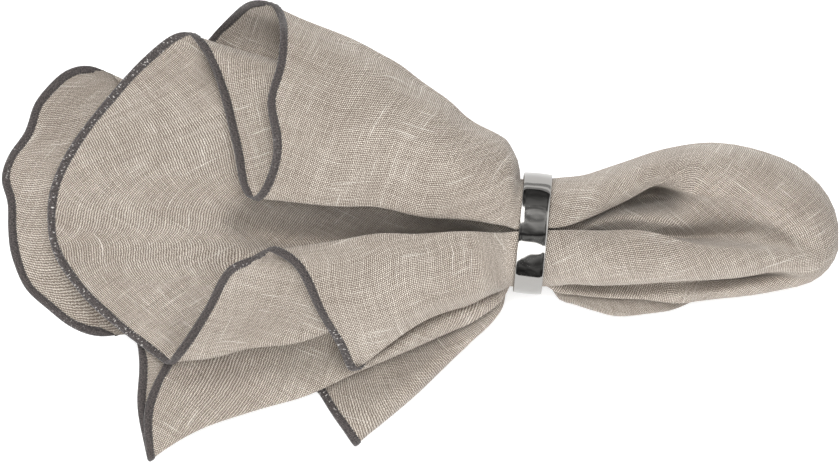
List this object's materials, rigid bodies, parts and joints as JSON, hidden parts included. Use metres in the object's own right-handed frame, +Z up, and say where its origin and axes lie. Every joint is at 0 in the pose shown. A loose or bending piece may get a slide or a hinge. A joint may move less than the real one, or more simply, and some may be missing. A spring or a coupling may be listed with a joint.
{
  "type": "linen napkin in a ring",
  "caption": "Square linen table napkin gathered by its middle through a polished metal ring, its hem spread in ruffled folds, lying flat",
  "frame": {"origin": "on the surface that the napkin lies on, under the middle of the whole", "axes": "+X from the hem towards the puffed middle of the cloth, +Y across it, +Z up"},
  "size_m": [0.3096, 0.1705, 0.045],
  "materials": {
    "linen": "natural greige linen, plain weave with slubs, dark grey overlocked edge",
    "metal": "polished"
  },
  "bodies": {
    "root": {"napkin": "linen", "ring": "metal"}
  },
  "joints": []
}
